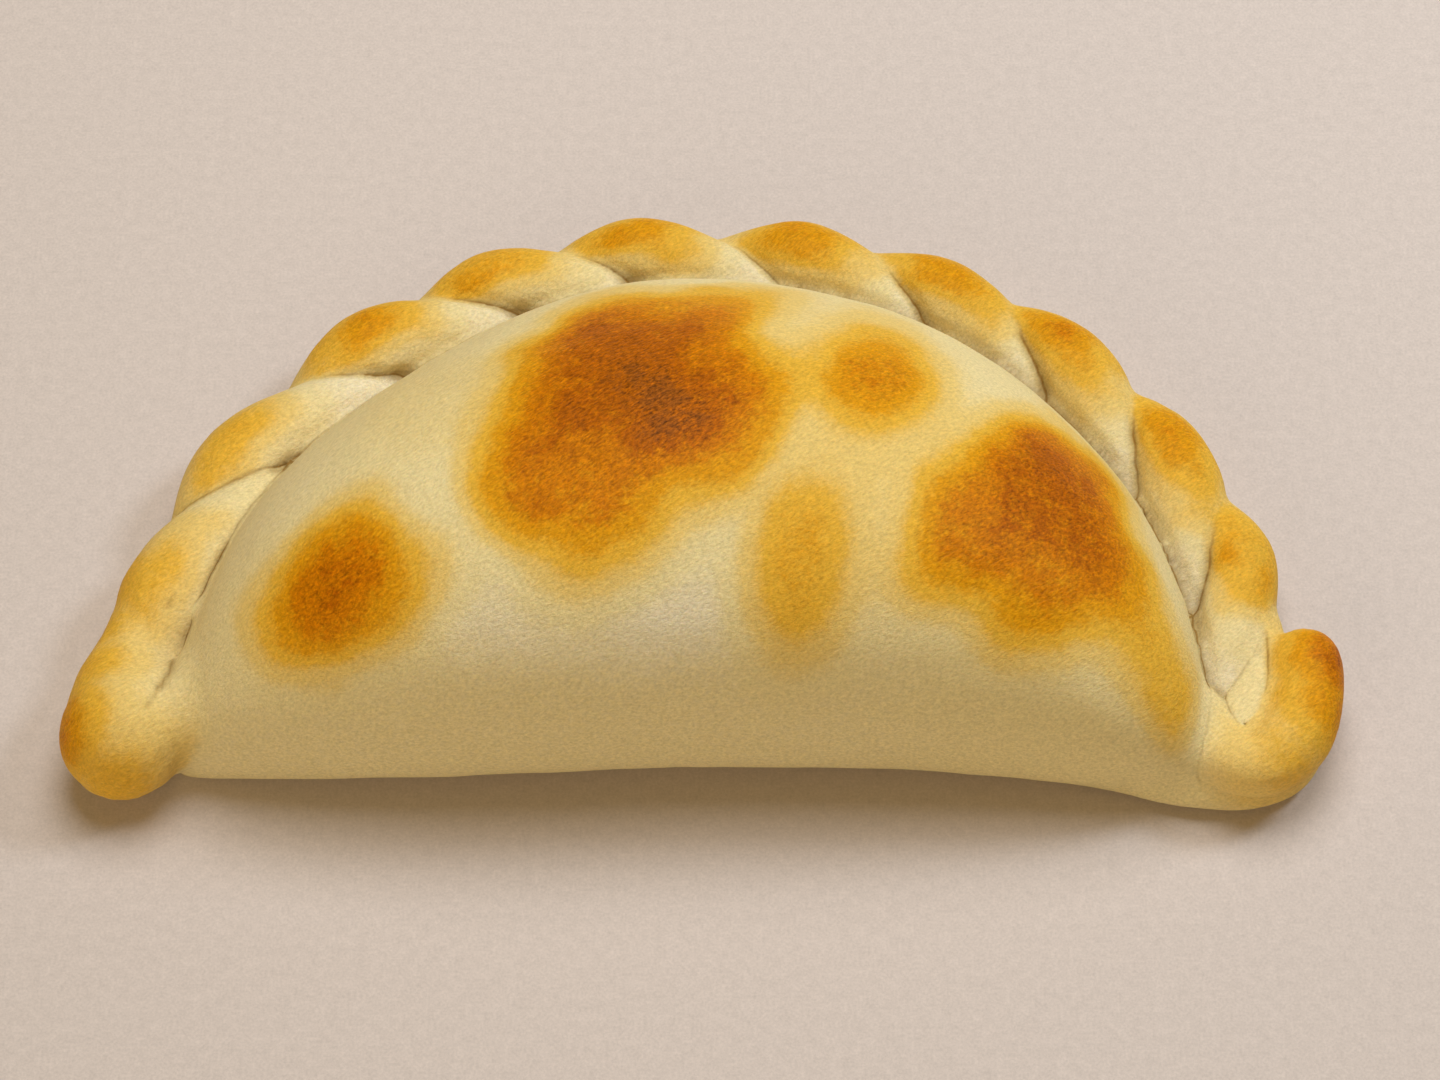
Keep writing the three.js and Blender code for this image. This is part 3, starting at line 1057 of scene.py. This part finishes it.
fold_thread, pouch_thread, slit_thread = [
    use_group(tree, thread, Off_Edge=from_mesh(tree, name), Width=width, Depth=creased)
    for name, width in THREADS.items()
]
threads = calculate(tree, "MAXIMUM", fold_thread, pouch_thread)
threads = calculate(tree, "MAXIMUM", threads, slit_thread)
painted_shade = add_node(tree, "ShaderNodeMix", data_type="RGBA", blend_type="MULTIPLY")
# Shade is also painted over the whole crease, stronger where it is deeper.
hollow = calculate(tree, "MULTIPLY", calculate(tree, "POWER", creased, 1.5), 0.6)
link(tree, calculate(tree, "MAXIMUM", threads, hollow), painted_shade.inputs["Factor"])
link(tree, lightness.outputs["Color"], painted_shade.inputs["A"])
painted_shade.inputs["B"].default_value = SHADED_DOUGH
link(tree, painted_shade.outputs["Result"], shader.inputs["Base Color"])
print("nodes with the threads:", len(tree.nodes))

# %% Gloss and fine bump
rough = calculate(tree, "MULTIPLY_ADD", browned, -0.22, 0.64)
link(tree, rough, shader.inputs["Roughness"])
bump = add_node(tree, "ShaderNodeBump")
bump.inputs["Strength"].default_value = 0.45
bump.inputs["Distance"].default_value = 0.25 * MM
link(tree, calculate(tree, "MULTIPLY_ADD", threads, -1.2, grain), bump.inputs["Height"])
link(tree, bump.outputs["Normal"], shader.inputs["Normal"])
shader.inputs["Specular IOR Level"].default_value = 0.06
shader.inputs["Subsurface Weight"].default_value = 0.12
shader.inputs["Subsurface Radius"].default_value = (1.0, 0.5, 0.2)
shader.inputs["Subsurface Scale"].default_value = 1.5 * MM
crust.data.materials.clear()
crust.data.materials.append(crust_finish)
print("nodes in the crust's material:", len(tree.nodes))

# %% [markdown]
# ## Floor, light and world
#
# The empanada stands on a pale, finely mottled tray. Soft daylight could come from the world
# alone, but three lamps can be placed and weighed one by one. A broad lamp behind it, almost
# overhead, gives the soft shadow in front. A small one at the right draws the forms of the rope,
# and a weak one in front, to the left, keeps the belly from going dark. The world adds a warm
# glow.

# %% Floor
PALE_TRAY = (0.64, 0.55, 0.505, 1)

choose()
bpy.ops.mesh.primitive_plane_add(size=3, location=(0, 0, 0))
floor = bpy.context.object
floor.name = "floor"
floor_finish = bpy.data.materials.new("pale_floor")
floor_finish.use_nodes = True
floor_tree = floor_finish.node_tree
floor_shader = floor_tree.nodes["Principled BSDF"]
floor_place = add_node(floor_tree, "ShaderNodeTexCoord").outputs["Object"]
floor_grain = use_group(floor_tree, speckle, Place=floor_place)
mottle = noise_in_mm(floor_tree, floor_place, 1.2, 3.0, 0.6)
mottle = calculate(floor_tree, "MULTIPLY_ADD", mottle, 0.22, 1.0)
floor_colour = add_node(floor_tree, "ShaderNodeHueSaturation")
floor_colour.inputs["Color"].default_value = PALE_TRAY
mottle = calculate(floor_tree, "MULTIPLY_ADD", floor_grain, 0.36, mottle)
link(floor_tree, mottle, floor_colour.inputs["Value"])
link(floor_tree, floor_colour.outputs["Color"], floor_shader.inputs["Base Color"])
floor_shader.inputs["Roughness"].default_value = 0.9
floor.data.materials.append(floor_finish)
print("floor, mm:", [round(v / MM) for v in floor.dimensions])

# %% World
WARM_AIR = (1.0, 0.68, 0.15, 1)

world = bpy.data.worlds.new("soft_room")
bpy.context.scene.world = world
world.use_nodes = True
background = world.node_tree.nodes["Background"]
background.inputs["Color"].default_value = WARM_AIR
background.inputs["Strength"].default_value = 0.18
print("world:", world.name)

# %% Lamps
# Each lamp: its elevation and azimuth in degrees, distance and size in mm, power and colour.
LAMPS = {
    "key": (70, 10, 600, 420, 2.53, (0.98, 1.0, 1.01)),
    "side": (45, 65, 600, 150, 1.04, (0.84, 1.0, 1.18)),
    "front": (20, 208, 700, 500, 1.22, (1.09, 1.0, 0.81)),
}


def soft_light(name, elevation, azimuth, distance, size, power, colour):
    """A round lamp aimed at the origin; azimuth is measured from behind, to the right."""
    up, round_to = math.radians(elevation), math.radians(azimuth)
    level = math.cos(up)
    direction = Vector((level * math.sin(round_to), level * math.cos(round_to), math.sin(up)))
    place = distance * direction
    bpy.ops.object.light_add(type="AREA", location=place * MM)
    light = bpy.context.object
    light.name = name
    light.data.shape = "DISK"
    light.data.size = size * MM
    light.data.energy = power
    light.data.color = colour
    light.rotation_euler = (-place).to_track_quat("-Z", "Y").to_euler()


for name, settings in LAMPS.items():
    soft_light(name, *settings)
